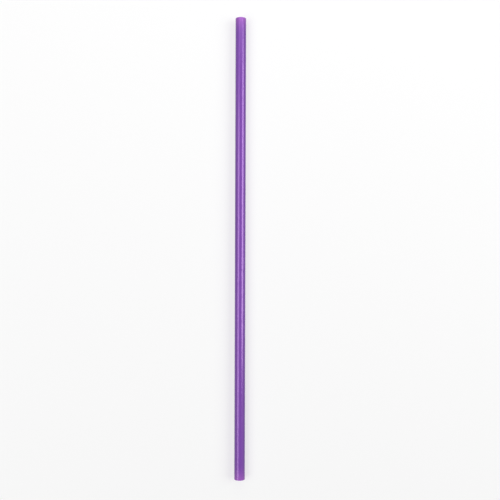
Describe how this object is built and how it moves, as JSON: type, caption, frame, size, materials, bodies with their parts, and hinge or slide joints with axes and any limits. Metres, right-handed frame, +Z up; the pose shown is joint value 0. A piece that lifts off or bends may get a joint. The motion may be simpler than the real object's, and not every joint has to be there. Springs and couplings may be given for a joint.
{
  "type": "drinking straw",
  "caption": "Straight thin-walled plastic tube with square-cut, lightly rounded rims, for sipping a drink from a glass, cup or bottle.",
  "frame": {"origin": "middle of the line that the straw rests on, half way along its length", "axes": "+Y along the straw, +Z up from the surface that it lies on"},
  "size_m": [0.006, 0.26, 0.006],
  "materials": {
    "purple_polypropylene": "extruded, tinted and translucent, semi-gloss"
  },
  "bodies": {
    "root": {"straw_tube": "purple_polypropylene"}
  },
  "joints": []
}
